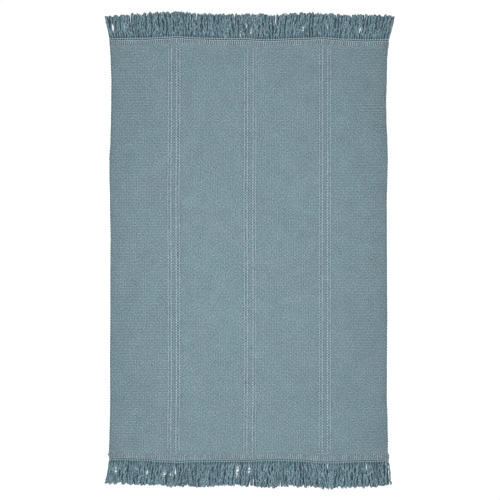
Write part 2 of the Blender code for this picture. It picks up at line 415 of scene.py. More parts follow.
def warp_x(y):
    """Where every warp lies at each y: an array as long as y by the number of warps."""
    y = np.asarray(y, float).reshape(-1)
    marks = np.tile(WARP_PLACES, (len(y), 1))
    for stripe in range(3):
        marks[:, STRIPE_OF_MARK == stripe] += eased(WANDER, stripe + 1, y)[:, None]
    marks[:, 0] = eased(SELVAGES, 1, y) + EDGE_IN
    marks[:, -1] = eased(SELVAGES, 2, y) - EDGE_IN
    number = np.arange(WARPS)
    k = np.clip(np.searchsorted(WARP_MARKS, number, side="right") - 1, 0, len(WARP_MARKS) - 2)
    t = (number - WARP_MARKS[k]) / (WARP_MARKS[k + 1] - WARP_MARKS[k])
    return marks[:, k] * (1 - t) + marks[:, k + 1] * t


def pick_y(x, straight):
    """How far the picks at `straight` bow, to follow the corded row that is near them."""
    near = seam_line(x, -1) - NEAR_LINE
    far = seam_line(x, 1) - FAR_LINE
    to_near = np.maximum(0.0, straight - NEAR_LINE - HEADING_END)
    to_far = np.maximum(0.0, FAR_LINE - HEADING_END - straight)
    return straight + near * np.exp(-to_near / 50.0) + far * np.exp(-to_far / 50.0)


FAR_LINE = float(np.mean(seam_line(np.linspace(-280, 276, 200), 1)))
NEAR_LINE = float(np.mean(seam_line(np.linspace(-280, 276, 200), -1)))
straight_y = np.concatenate([
    NEAR_LINE + HEADING,
    np.linspace(NEAR_LINE + HEADING_END, FAR_LINE - HEADING_END, FIELD_PICKS),
    FAR_LINE - HEADING[::-1],
])
pick_no = np.arange(PICKS)[:, None]
warp_no = np.arange(WARPS)[None, :]
field_no = pick_no - len(HEADING)
in_field = (field_no >= 0) & (field_no < FIELD_PICKS)
grid_x = warp_x(straight_y)
grid_y = pick_y(grid_x, straight_y[:, None])

# Yarns wander a little, and each has its own thick and thin places.
loose = np.minimum(1.0, np.minimum(warp_no, WARPS - 1 - warp_no) / 6.0) * np.where(in_field, 1.0, 0.3)
grid_x = grid_x + loose * 0.26 * noise(warp_no * 1.0, grid_y / 17.0, 11)
grid_y = grid_y + loose * (0.30 * noise(grid_x / 19.0, pick_no * 1.0, 12) + 0.35 * noise(grid_x / 60.0, grid_y / 45.0, 13))
warp_size = noise(warp_no * 1.0 + 0.5, grid_y / 26.0, 14) * 0.6 + noise(warp_no * 1.0 + 0.5, grid_y / 9.0, 15) * 0.5
pick_size = noise(grid_x / 30.0, pick_no * 1.0 + 0.5, 16) * 0.6 + noise(grid_x / 10.0, pick_no * 1.0 + 0.5, 17) * 0.5
speck = np.random.default_rng(18).uniform(-1.0, 1.0, grid_x.shape)
around = sum(np.roll(speck, step, axis) for step in (-1, 1) for axis in (0, 1)) / 4.0
speck = speck - around  # each crossing against its four neighbours

proud_warp = warp_no % 2 == 0
bead_row = field_no % 2 == 0
warp_over = proud_warp == bead_row
gust = 1.0 + 0.45 * noise(grid_x / 34.0, grid_y / 42.0, 19)
row_bead = eased(BEADS, 1, grid_x) * gust * np.where(bead_row, 1.0, -1.0)
warp_bead = eased(BEADS, 2, grid_x) * (2.0 - gust) * np.where(proud_warp, 1.0, -1.0)
beads = 0.87 * row_bead + 0.82 * warp_bead + np.where(warp_over, 0.10, -0.10)
own_size = np.where(warp_over, warp_size, pick_size)
lift = 1.5 * beads + 0.10 * own_size + 0.16 * speck
# painted shade and highlight: lighter where the beads stand out, darker between them, plus random tone from speck and
# yarn thickness
relief = 1.0 + 0.92 * beads + 0.04 * own_size + 0.10 * speck
lift = np.where(in_field, lift, 0.0)

# Openwork ladders: holes at the bead rows, bridged by the picks between them. The holes get painted shade and the
# bridging picks a painted highlight.
for hole in HOLE_WARPS:
    open_here = in_field & (warp_no == hole)
    uneven_hole = noise(pick_no / 2.0, float(hole), 21)
    lift = np.where(open_here & bead_row, -1.55 + 0.40 * uneven_hole, lift)
    relief = np.where(open_here & bead_row, (0.60 if hole > 160 else 0.52) + 0.16 * uneven_hole, relief)
    lift = np.where(open_here & ~bead_row, 0.45, lift)
    relief = np.where(open_here & ~bead_row, 1.46 + 0.12 * speck, relief)
for warp in FLOAT_WARPS:
    beside = in_field & (warp_no == warp)
    lift = np.where(beside & bead_row, 0.30, np.where(beside, 0.06, lift))
    # painted highlight on the cloth under the floats' beads, and painted shade in the valley outside each float
    relief = np.where(beside & bead_row, 1.25, np.where(beside, 0.98 + 0.12 * speck, relief))
    outer = warp + (1 if warp in (48, 54, 108, 114, 168, 174) else -1)
    valley = in_field & (warp_no == outer)
    lift = np.where(valley, lift - 0.25, lift)
    relief = np.where(valley, relief * 0.92, relief)

# Headings: the sewn band beside the cord, then two packed picks before the open weave.
from_cord = np.minimum(grid_y - seam_line(grid_x, -1), seam_line(grid_x, 1) - grid_y)
heading_lift = np.interp(
    from_cord,
    [1.0, 2.0, 3.9, 6.0, 8.0, 10.0, 12.1, 14.2, 16.3, 18.8],
    [-1.0, -1.15, -0.25, -0.45, -0.30, -0.45, 0.15, 0.05, -0.05, 0.0],
)
row_sign = np.where(np.abs(from_cord - 14.2) < 1.0, -1.0, np.where(np.abs(from_cord - 16.3) < 1.0, -1.0, 1.0))
# painted shade between the heading's raised warps and painted highlight on them, alongside their lift
dash = np.where(proud_warp, 0.16, -0.20) * row_sign * np.interp(from_cord, [2.0, 3.0, 4.5, 10.0, 12.1, 16.3], [2.4, 1.8, 0.60, 0.70, 1.3, 1.1])
dash = dash * (0.8 + 0.4 * noise(grid_x / 14.0, pick_no / 2.0, 22)) * np.where(grid_y > 0, 1.0, 1.4)
heading = ~in_field
heading_rows = [1.0, 2.0, 3.9, 6.0, 8.0, 10.0, 12.1, 14.2, 16.3]
# painted shade row by row across the heading, darkest in the groove beside the cord
heading_painted_shade = np.where(
    grid_y > 0,
    np.interp(from_cord, heading_rows, [0.78, 0.74, 0.98, 0.92, 0.94, 0.90, 0.92, 0.96, 0.99]),
    np.interp(from_cord, heading_rows, [0.78, 0.98, 0.97, 0.89, 0.91, 0.88, 0.86, 0.76, 1.00]),
)
lift = np.where(heading, heading_lift + 1.2 * dash + 0.10 * speck, lift)
relief = np.where(heading, heading_painted_shade + dash + 0.16 * speck, relief)

# The cloth is beaten tighter towards its sides, and painted shade darkens it there: a narrow strip at each selvage and
# a broader falloff, deeper on the +X side.
from_side = np.minimum(grid_x - grid_x[:, :1], grid_x[:, -1:] - grid_x)
relief = relief * (1.0 - 0.05 * np.exp(-from_side / 7.0) - np.where(grid_x > 0, 0.130 * np.exp(-from_side / 75.0), 0.090 * np.exp(-from_side / 55.0)))
relief = relief * (1.0 + 0.031 * noise(grid_x / 26.0, grid_y / 33.0, 23) + 0.018 * noise(grid_x / 9.0, grid_y / 11.0, 24))

FACE = 3.35  # mean height of the face
face_z = FACE + lift + 0.10 * noise(grid_x / 90.0, grid_y / 110.0, 25)
from_edge = np.minimum(warp_no, WARPS - 1 - warp_no)
face_z = face_z - np.where(from_edge == 0, 1.05, 0.0) - np.where(from_edge == 1, 0.25, 0.0)


def grid_faces(index, warp_on_top):
    """Two triangles to a square, split between its two lower corners."""
    a, b, c, d = index[:-1, :-1], index[:-1, 1:], index[1:, 1:], index[1:, :-1]
    split = warp_on_top[:-1, :-1]
    one = np.where(split[..., None], np.stack([a, b, d], -1), np.stack([a, b, c], -1))
    two = np.where(split[..., None], np.stack([b, c, d], -1), np.stack([a, c, d], -1))
    return np.concatenate([one.reshape(-1, 3), two.reshape(-1, 3)])


def rim_of(index):
    """The outer points of a grid, anticlockwise from its first corner."""
    return np.concatenate([index[0, :-1], index[:-1, -1], index[-1, :0:-1], index[:0:-1, 0]])


def woven_cloth():
    top = np.stack([grid_x, grid_y, face_z], -1)
    top_index = np.arange(PICKS * WARPS).reshape(PICKS, WARPS)
    under_x, under_y = grid_x[::2, ::2], grid_y[::2, ::2]
    checks = (np.arange(under_x.shape[0])[:, None] + np.arange(under_x.shape[1])[None, :]) % 2
    under_z = 0.10 + 0.28 * checks + 0.06 * (1 + noise(under_x / 7.0, under_y / 7.0, 26))
    under = np.stack([under_x, under_y, under_z], -1)
    under_index = np.arange(under_x.size).reshape(under_x.shape)
    outer, under_rim = rim_of(top_index), rim_of(under_index)
    middle = top.reshape(-1, 3)[outer].copy()
    before, after = np.roll(middle, 1, 0), np.roll(middle, -1, 0)
    out = np.stack([after[:, 1] - before[:, 1], before[:, 0] - after[:, 0]], -1)
    out /= np.linalg.norm(out, axis=1, keepdims=True)
    middle[:, :2] += 0.35 * out
    middle[:, 2] = 1.25
    n_top, n_mid = top_index.size, len(outer)
    verts = np.concatenate([top.reshape(-1, 3), middle, under.reshape(-1, 3)])
    ring = n_top + np.arange(n_mid)
    low = n_top + n_mid + under_rim
    nxt = np.roll
    upper_band = np.concatenate([
        np.stack([outer, ring, nxt(ring, -1)], -1),
        np.stack([outer, nxt(ring, -1), nxt(outer, -1)], -1),
    ])
    first, second, third = ring[::2], ring[1::2], nxt(ring[::2], -1)
    lower_band = np.concatenate([
        np.stack([first, low, second], -1),
        np.stack([second, low, nxt(low, -1)], -1),
        np.stack([second, nxt(low, -1), third], -1),
    ])
    under_faces = grid_faces(n_top + n_mid + under_index, checks == 0)[:, ::-1]
    tris = np.concatenate([grid_faces(top_index, np.broadcast_to(warp_over, grid_x.shape)), upper_band, lower_band, under_faces])
    kind = np.zeros(len(tris), bool)
    kind[-len(under_faces):] = True  # faces of the underside
    shade = np.concatenate([relief.ravel(), relief.ravel()[outer] * 0.86, 0.86 + 0.12 * checks.ravel()])
    numbers = np.concatenate([
        np.stack(np.broadcast_arrays(warp_no, pick_no), -1).reshape(-1, 2),
        np.stack(np.broadcast_arrays(warp_no, pick_no), -1).reshape(-1, 2)[outer] + 0.0,
        np.stack(np.broadcast_arrays(warp_no[:, ::2], pick_no[::2]), -1).reshape(-1, 2),
    ]).astype(float)
    flat = tris.ravel()
    spot = verts[flat]
    planar = np.stack([(spot[:, 0] + 290.0) / 580.0 * 0.60 + 0.01, (spot[:, 1] + 430.0) / 865.0 * 0.96 + 0.02], -1)
    beneath = np.repeat(kind, 3)
    planar[beneath, 0] = (spot[beneath, 0] + 290.0) / 580.0 * 0.34 + 0.64
    return mesh_piece(
        "woven_cloth", verts, tris, cloth_finish,
        {"relief": shade},
        {"Weave": numbers[flat], "OFBake": planar},
    )


cloth = woven_cloth()


def face_at(row, x):
    """Height of the face along one pick."""
    return np.interp(x, grid_x[row], face_z[row])


# ---- warp floats beside the openwork -------------------------------------------------------
def stripe_floats():
    strands = Strands()
    rows = np.arange(len(HEADING) - 1, len(HEADING) + FIELD_PICKS + 1)
    fine = np.linspace(rows[0], rows[-1], (len(rows) - 1) * 3 + 1)
    for number, warp in enumerate(FLOAT_WARPS):
        x = np.interp(fine, rows, grid_x[rows, warp])
        y = np.interp(fine, rows, grid_y[rows, warp])
        wave = np.cos(math.pi * (fine - len(HEADING)))
        size = noise(y / 11.0, float(number), 31)
        fade = ramp(np.minimum(fine - rows[0], rows[-1] - fine), 0.0, 3.0)
        own = noise(np.floor((fine - len(HEADING) + 1) / 2.0), number + 0.5, 32)  # one value to a bead
        z = 2.66 + 0.66 * wave + 0.08 * size + 0.10 * own - 0.6 * (1 - fade)
        inner = warp in (48, 52, 108, 112, 168, 172)
        # painted highlight: the floats are painted lighter than the cloth, and lighter still where they rise at the
        # beads
        strands.add(
            np.stack([x, y, z], -1)[None],
            ((1.34 if inner else 1.12) * (1.0 + 0.10 * wave + 0.06 * size + 0.05 * own))[None],
            5, turn=0.3, flat=0.74,
            tone=(1.46 if warp < 60 else 1.40) + (0.34 * wave + 0.15 * own + 0.05 * noise(y / 40.0, number + 0.5, 33))[None],
            relief=(0.98 + 0.08 * wave)[None],
        )
    return strands.build("stripe_floats", cord_finish)


floats = stripe_floats()


# ---- selvage turns -------------------------------------------------------------------------
def selvage_turns():
    """Each pick turns round the outer warp and goes back as the next one."""
    strands = Strands()
    for side, column in ((-1, 0), (1, WARPS - 1)):
        first = np.arange(1, PICKS - 2, 2)
        a = np.linspace(-0.62, 0.62, 9) * math.pi
        y0, y1 = grid_y[first, column], grid_y[first + 1, column]
        x0 = (grid_x[first, column] + grid_x[first + 1, column]) / 2
        stray = noise(first / 3.0, float(column), 41)
        reach = EDGE_IN + 0.05 + 0.22 * stray
        middle = (y0 + y1) / 2
        x = x0[:, None] + side * ((reach + 0.35)[:, None] * np.cos(a)[None] - 0.85)
        y = middle[:, None] + 0.62 * (y1 - y0)[:, None] * np.sin(a)[None]
        z = 1.75 + 0.75 * np.sin(a)[None] + 0.12 * stray[:, None]
        radius = (0.80 + 0.07 * noise(first / 2.0, column + 0.5, 42))[:, None] * np.ones(9)
        # painted shade: the turns round the edge are painted a little darker than the cloth
        tone = 0.90 + 0.05 * stray[:, None] * np.ones(9)
        strands.add(np.stack([x, y, z], -1), radius, 5, tone=tone, relief=0.93)
    return strands.build("selvage_turns", cord_finish)


turns = selvage_turns()


# ---- corded rows ---------------------------------------------------------------------------
BUNDLES = 113


def ends_of(end):
    edge_y = 424.0 if end > 0 else -421.0
    left, right = eased(SELVAGES, 1, edge_y), eased(SELVAGES, 2, edge_y)
    return float(left), float(right)


def corded_row(end, name):
    """Two strands twined over a core across the warps, half a turn to each fringe bundle."""
    left, right = ends_of(end)
    x = np.linspace(left + 0.6, right - 0.6, 560)
    pitch = (right - left) / BUNDLES
    strands = Strands()
    line = seam_line(x, end)
    for ply in (0, 1):
        a = math.pi * (x - left) / pitch + ply * math.pi
        y = line + 0.62 * np.cos(a)
        z = 3.02 + 0.55 * np.sin(a) + 0.10 * noise(x / 12.0, float(ply), 51 + end)
        size = 0.84 + 0.06 * noise(x / 9.0, ply + 0.5, 53 + end)
        # painted highlight on each ply where it crosses the top of the cord, and painted shade at the cord's sides,
        # deeper at the near end
        strands.add(
            np.stack([x, y, z], -1)[None], size[None], 6,
            tone=(1.0 + 0.05 * noise(x / 15.0, float(ply), 55 + end))[None],
            relief=((0.70 if end > 0 else 0.51) + (1.20 if end > 0 else 1.32) * np.sin(a) ** 2)[None],
        )
    core = np.stack([x, line, np.full_like(x, 2.75)], -1)[None, ::3]
    strands.add(core, 0.95, 6, tone=0.95, relief=0.96)
    return strands.build(name, cord_finish)


far_cord = corded_row(1, "corded_row_far")
near_cord = corded_row(-1, "corded_row_near")


# ---- fringes -------------------------------------------------------------------------------
# x and the lean in degrees of a bundle's middle and of its tip, away from the cloth and to +X
FAR_LEAN = np.array([
    (-283.0, -10.0, -16.0), (-250.0, -8.0, -11.0), (-225.0, -1.0, -4.0), (-200.0, 5.0, 4.0),
    (-176.0, 4.0, -14.0), (-150.0, -5.0, -4.0), (-122.0, -3.0, -6.0), (-98.0, 10.0, 8.0),
    (-76.0, 8.0, 2.0), (-38.0, -10.0, -12.0), (-20.0, -4.0, -2.0), (-4.0, 10.0, -14.0),
    (14.0, 8.0, 12.0), (36.0, 0.0, 0.0), (70.0, 2.0, 16.0), (140.0, 2.0, 18.0),
    (196.0, 6.0, 16.0), (210.0, 12.0, 12.0), (279.0, 15.0, 14.0),
])
NEAR_LEAN = np.array([
    (-283.0, -8.0, -20.0), (-245.0, -8.0, -16.0), (-204.0, -17.0, -18.0), (-158.0, -16.0, -14.0),
    (-134.0, -8.0, -6.0), (-104.0, -4.0, -8.0), (-76.0, -4.0, -9.0), (-50.0, -8.0, -10.0),
    (-26.0, -15.0, -14.0), (2.0, -15.0, -20.0), (24.0, -2.0, -2.0), (52.0, -2.0, 2.0),
    (70.0, 5.0, 8.0), (146.0, 12.0, 8.0), (168.0, -6.0, -8.0), (184.0, -8.0, -8.0),
    (200.0, 2.0, 2.0), (260.0, 2.0, 3.0), (279.0, 5.0, 5.0),
])
# x, y, half width and half height of the places where the strands part and the floor shows
FAR_PARTINGS = np.array([
    (-274.4, 444.8, 1.9, 5.0), (-203.0, 447.0, 1.0, 1.4), (-251.0, 445.0, 0.9, 1.4),
    (-111.0, 445.0, 0.9, 1.4), (155.0, 446.0, 0.9, 2.0), (245.0, 443.0, 1.0, 3.0),
    (249.6, 441.6, 1.8, 2.4), (2.2, 440.2, 1.9, 4.2), (11.0, 442.0, 0.9, 2.2),
    (106.4, 441.6, 1.9, 3.0), (-19.0, 440.0, 1.0, 2.2), (51.0, 456.0, 0.9, 2.0),
    (220.0, 437.0, 1.8, 3.0), (225.0, 434.0, 0.9, 2.0), (255.0, 438.0, 0.9, 2.0),
    (-92.4, 438.0, 0.9, 1.6), (-45.0, 438.6, 1.1, 1.8), (-49.0, 430.0, 0.9, 1.8),
    (-6.0, 445.6, 1.1, 2.2), (-20.0, 429.5, 0.9, 1.6),
])
NEAR_PARTINGS = np.array([
    (276.4, -441.0, 1.9, 7.0), (233.0, -434.0, 1.2, 2.2), (155.0, -433.0, 1.0, 3.0),
    (37.0, -433.0, 1.0, 3.0), (-24.8, -439.4, 2.8, 5.0), (-26.0, -450.0, 1.9, 4.0),
    (-1.8, -440.4, 1.9, 4.0), (-1.6, -448.4, 1.9, 2.2), (-171.4, -446.6, 2.8, 5.0),
    (-159.0, -449.0, 1.4, 3.0), (-149.6, -446.4, 1.8, 2.2), (-268.4, -442.2, 1.9, 5.0),
    (145.0, -450.0, 1.0, 2.2), (-229.0, -437.0, 0.9, 1.4), (-206.0, -445.0, 1.8, 1.4),
])


def settle(x, z, radius, rest, partings, y, along, rounds=110, clear=1.0):
    """Pushes yarns at the same station apart until they lie beside and on each other. rest is
    the lowest that the middle of a yarn may lie, and clear the room it keeps from a parting."""
    home, home_z = x.copy(), z.copy()
    held = (along < 1.0)[None, :]
    for step in range(rounds):
        z = z - np.where(held, 0.0, 0.05)
        x = x + (0.035 if step < 0.65 * rounds else 0.0) * (home - x)
        for other in range(1, 8):
            dx, dz = x[other:] - x[:-other], z[other:] - z[:-other]
            d = np.sqrt(dx * dx + dz * dz) + 1e-6
            push = np.clip((radius[other:] + radius[:-other]) * 0.93 - d, 0.0, 0.8) * 0.28
            px, pz = push * dx / d, push * dz / d
            x[other:] += px
            x[:-other] -= px
            z[other:] += pz
            z[:-other] -= pz
        for gx, gy, half_w, half_h in partings:
            reach_y = np.clip(1.0 - ((y - gy) / (half_h + 2.0)) ** 2, 0.0, 1.0)
            wide = (1.15 * half_w + 0.15 + clear * radius) * np.sqrt(reach_y)
            away = x - gx
            away = np.where(np.abs(away) < 0.05, 0.05 * np.where(home > gx, 1.0, -1.0), away)
            x = x + 0.5 * np.sign(away) * np.clip(wide - np.abs(away), 0.0, None) * (reach_y > 0)
        for array, first in ((x, home), (z, home_z)):  # a push spreads along the yarn
            moved = array - first
            smooth = moved.copy()
            smooth[:, 1:-1] = 0.76 * moved[:, 1:-1] + 0.12 * (moved[:, :-2] + moved[:, 2:])
            smooth[:, -1] = 0.8 * moved[:, -1] + 0.2 * moved[:, -2]
            array[:] = np.where(held, array, first + smooth)
        x = np.where(held, home, x)
        z = np.where(held, z, np.clip(z, rest, 4.1))
    return x, z


def clumps_of(rand):
    """Gathers the bundles into tufts of two to five: middle and half width of each bundle's."""
    middle, half = np.zeros(BUNDLES + 1), np.zeros(BUNDLES + 1)
    at = 0
    while at <= BUNDLES:
        size = int(rand.integers(2, 6))
        middle[at:at + size] = at + size / 2
        half[at:at + size] = size / 2
        at += size
    return middle, half


def fringe(end, name):
    """One end's fringe: wavy yarns, two to a bundle, over two layers of shaded ones."""
    left, right = ends_of(end)
    pitch = (right - left) / BUNDLES
    seed = 60 if end > 0 else 80
    rand = np.random.default_rng(seed)
    lean_table = FAR_LEAN if end > 0 else NEAR_LEAN
    partings = FAR_PARTINGS if end > 0 else NEAR_PARTINGS
    lean_left, lean_right = FRINGE_ENDS[0, 2 if end > 0 else 4], FRINGE_ENDS[-1, 2 if end > 0 else 4]
    tuft_middle, tuft_half = clumps_of(rand)
    tuft_reach = rand.uniform(-1.6, 1.5, BUNDLES + 8)

    def course(place, own, stations, curl_of, own_curl, shorter):
        """Where yarns that start at these places, in bundles, run: x, y, distance out, share."""
        bundle = np.clip(np.floor(place).astype(int), 0, BUNDLES - 1)
        root = np.clip(left + place * pitch, left + 0.9, right - 0.9)
        root_y = seam_line(root, end)
        tip = eased(FRINGE_ENDS, 1 if end > 0 else 3, root)
        aside = (place - tuft_middle[bundle]) / tuft_half[bundle]
        length = np.abs(tip - root_y) + (0.9 if end > 0 else 1.8) + 0.8 * tuft_reach[(tuft_middle[bundle]).astype(int)]
        length = length - 0.6 * np.abs(aside) ** 2 - shorter + 1.9 * noise(bundle * 1.0, 0.0, seed + 1)
        t = np.linspace(0.0, 1.0, stations)[None, :]
        away = -2.2 + t * (length[:, None] + 2.2)
        f = np.clip(away / length[:, None], 0.0, 1.0)
        middle = np.radians(eased(lean_table, 1, root) + 5.0 * curl_of * noise(place / 1.3, 0.5, seed + 2))[:, None]
        tips = np.radians(eased(lean_table, 2, root) + 7.0 * curl_of * noise(place / 1.1, 1.5, seed + 3))[:, None]
        whole = eased(FRINGE_ENDS, 2 if end > 0 else 4, root)[:, None]
        leaning = away.clip(0) * np.tan(middle) * 0.65 + (away - 28.0).clip(0) * (np.tan(tips) - np.tan(middle)) * 0.6
        early = np.where((root > 255.0) & (end < 0), 0.45, 1.2)[:, None]
        leaning = 0.75 * leaning + 0.5 * whole * f ** early
        gather = -0.01 * (aside * tuft_half[bundle] * pitch)[:, None] * ramp(away, 14.0, 44.0)
        astray = 0.03 * noise(bundle * 1.0, 2.0, seed + 20)[:, None] * away.clip(0)
        astray = astray - 0.05 * noise(bundle * 1.0, 4.0, seed + 20)[:, None] * (away - 20.0).clip(0)
        curl = (
            1.7 * noise(place[:, None] * 0.42, away / 19.0, seed + 4)
            + 1.1 * noise(bundle[:, None] * 1.0, away / 8.0, seed + 5)
            + 1.0 * noise(bundle[:, None] * 1.0 + 0.1, away / 4.4, seed + 18)
            + own_curl * noise(own[:, None] * 1.0, away / 8.0, seed + 6)
            + 0.5 * own_curl * noise(own[:, None] * 1.0 + 0.5, away / 3.6, seed + 7)
        ) * curl_of
        x = root[:, None] + leaning + gather + ramp(away, 0.8, 10.0) * curl + curl_of * astray
        return x, root_y[:, None] + end * away, away, f

    # the upper yarns
    count = 2 * BUNDLES
    own = np.arange(count) * 1.0
    pair = np.where(np.arange(count) % 2 == 0, -1.0, 1.0)
    place = np.repeat(np.arange(BUNDLES), 2) + 0.5 + 0.10 * pair
    x, y, away, f = course(place, own, 32, 1.0, 0.95, rand.uniform(-1.0, 3.1, count))
    turn = math.tau * (away / (15.0 + 4.0 * noise(own // 2, 2.5, seed + 8)[:, None]) + np.repeat(rand.uniform(0, 1, BUNDLES), 2)[:, None])
    x = x + ramp(away, 0.5, 6.0) * pair[:, None] * (0.50 * np.cos(turn) - 1.15)
    z = 3.1 + 0.9 * pair[:, None] * np.sin(turn) + 0.6 * noise(own[:, None], away / 7.0, seed + 9)
    z = z + 0.8 * noise(np.floor(own / 2)[:, None], away / 22.0, seed + 21)
    z = z + (1 - ramp(away, 0.0, 7.0)) * (2.45 - z)
    size = 0.97 * (1.0 + 0.16 * noise(own[:, None] * 1.0, away / 9.0, seed + 10))
    size = size * (0.72 + 0.28 * ramp(away, 1.0, 6.0))
    rest = size + 1.2 * ramp(away, 2.0, 9.0) * (1.0 - 0.35 * ramp(f, 0.85, 1.0))
    x, z = settle(x, z, size * 0.62, rest, partings, y, away.mean(0), 26)
    x = np.clip(x, left - 1.2 + lean_left * f, right + 1.2 + lean_right * f)
    phase = rand.uniform(0, math.tau, count)[:, None]
    crimp = np.sin(math.tau * away / 5.4 + phase + 1.2 * noise(own[:, None], away / 9.0, seed + 11))
    kept = ramp(away, 1.5, 6.0)
    z = z + 0.22 * kept * crimp  # crimp kept from the weave
    x = x + 0.22 * kept * np.cos(math.tau * away / 5.4 + phase)

    # the yarns between, and the ones that lie on the floor
    mids = 170
    mid_place = (np.arange(mids) + rand.uniform(0.15, 0.85, mids)) * BUNDLES / mids
    mx, my, ma, mf = course(mid_place, 400.0 + np.arange(mids), 24, 0.9, 1.3, rand.uniform(0.3, 2.8, mids))
    m_size = 1.02 * (0.70 + 0.30 * ramp(ma, 1.0, 6.0)) * (1.0 + 0.10 * noise(mid_place[:, None], ma / 9.0, seed + 12))
    mx, _ = settle(mx, np.full(mx.shape, 1.6), m_size * 0.7, 1.6, partings, my, ma.mean(0), 40, 1.35)
    mx = np.clip(mx, left - 0.5 + lean_left * mf, right + 0.5 + lean_right * mf)
    rise = ramp(noise(np.arange(mids)[:, None] * 1.0, ma / 13.0, seed + 13), -0.15, 0.4) * ramp(ma, 4.0, 10.0)
    mz = 1.65 + 1.9 * rise - 0.4 * ramp(mf, 0.8, 1.0)  # some come up between the upper ones
    # painted shade: the lowest yarns are wide, flat and painted dark, a backing that stands for the shade under the
    # upper ones
    lows = 113
    low_place = (np.arange(lows) + 0.5) * BUNDLES / lows
    lx, ly, la, lf = course(low_place, 700.0 + np.arange(lows), 16, 0.30, 0.5, rand.uniform(0.9, 2.4, lows))
    l_size = 2.95 * (0.80 + 0.20 * ramp(la, 0.0, 6.0)) * (1.0 - 0.20 * ramp(lf, 0.88, 1.0))
    lx, _ = settle(lx, np.full(lx.shape, 1.2), l_size * 0.62, 1.2, partings, ly, la.mean(0), 40, 1.45)
    lx = np.clip(lx, left + 2.2 + lean_left * lf, right - (2.2 if end > 0 else 6.2) + lean_right * lf)
    l_flat = 0.32
    lz = l_size * l_flat + 0.03 + 0.10 * (np.arange(lows) % 2)[:, None]

    # Painted shade from what lies over a yarn and from how low it lies, as deep folds of yarn fall in shade, with a
    # painted highlight on the crimp's tops and a little at the roots.
    cover = np.zeros_like(x)
    for other in range(1, 8):
        dx, dz = x[other:] - x[:-other], z[other:] - z[:-other]
        close = np.clip(1.35 - np.abs(dx) / 1.5, 0.0, 1.0)
        cover[:-other] += close * np.clip((dz - 0.3) / 1.2, 0.0, 1.0)
        cover[other:] += close * np.clip((-dz - 0.3) / 1.2, 0.0, 1.0)
    root_shade = 1.0 + 0.04 * (1 - ramp(away, 1.5, 5.0))
    shade = (1.0 - 0.32 * np.clip(cover, 0.0, 1.0) - 0.16 * np.clip((3.4 - z) / 1.3, 0.0, 1.0)) * root_shade * (1.0 + 0.15 * kept * crimp)
    tone = 1.0 + 0.17 * rand.uniform(-1, 1, count)[:, None] + 0.08 * noise(place[:, None], away / 15.0, seed + 14) + 0.38 * noise(own[:, None] * 1.0, away / 2.7, seed + 15)
    m_tone = 1.0 + 0.12 * rand.uniform(-1, 1, mids)[:, None] + 0.12 * noise(mid_place[:, None], ma / 5.0, seed + 16)
    l_tone = 1.0 + 0.10 * rand.uniform(-1, 1, lows)[:, None] + 0.10 * noise(low_place[:, None], la / 6.0, seed + 17)

    strands = Strands()
    # painted light: upper yarns painted lighter, the yarns between darker except where they rise, the lowest layer
    # darkest
    strands.add(np.stack([x, y, z], -1), size * (1.0 - 0.15 * ramp(f, 0.9, 1.0)), 6, turn=math.pi / 6, flat=0.92, flank=0.62, tone=tone, relief=shade * (1.235 if end > 0 else 1.20))
    strands.add(np.stack([mx, my, mz], -1), m_size, 6, turn=math.pi / 6, flat=0.8, flank=0.6, tone=m_tone, relief=0.62 + 0.15 * (1 - ramp(ma, 2.0, 7.0)) + 0.52 * rise)
    strands.add(np.stack([lx, ly, lz], -1), l_size, 6, flat=l_flat, tone=l_tone, relief=0.31)

    # Frayed ends: a few hairs from each tip.
    pts, tn = [], []
    for k in range(3):
        base = np.stack([x, y, z], -1)[:, -3]
        base = base + np.stack([rand.normal(0, 0.5, count), np.zeros(count), rand.normal(0, 0.25, count)], -1)
        reach = rand.uniform(2.8, 5.6, count)
        fan = rand.normal(0, 1.0, count) + 0.5 * (x[:, -1] - x[:, -4])
        s = np.linspace(0, 1, 4)[None, :]
        pts.append(np.stack([
            base[:, :1] + fan[:, None] * s ** 1.4,
            base[:, 1:2] + end * reach[:, None] * s,
            np.maximum(0.5, base[:, 2:3] * (1 - 0.35 * s)),
        ], -1))
        tn.append(np.broadcast_to(tone[:, -1:], (count, 4)))
    pts, tn = np.concatenate(pts), np.concatenate(tn)
    strands.add(pts, np.broadcast_to(np.array([0.42, 0.36, 0.27, 0.10]), (len(pts), 4)), 3, tone=tn, relief=0.97)
    return strands.build(name, fringe_finish)


far_fringe = fringe(1, "fringe_far_yarns")
near_fringe = fringe(-1, "fringe_near_yarns")


# ---- sewn bands and stitches -----------------------------------------------------------------
STITCH = 4.15


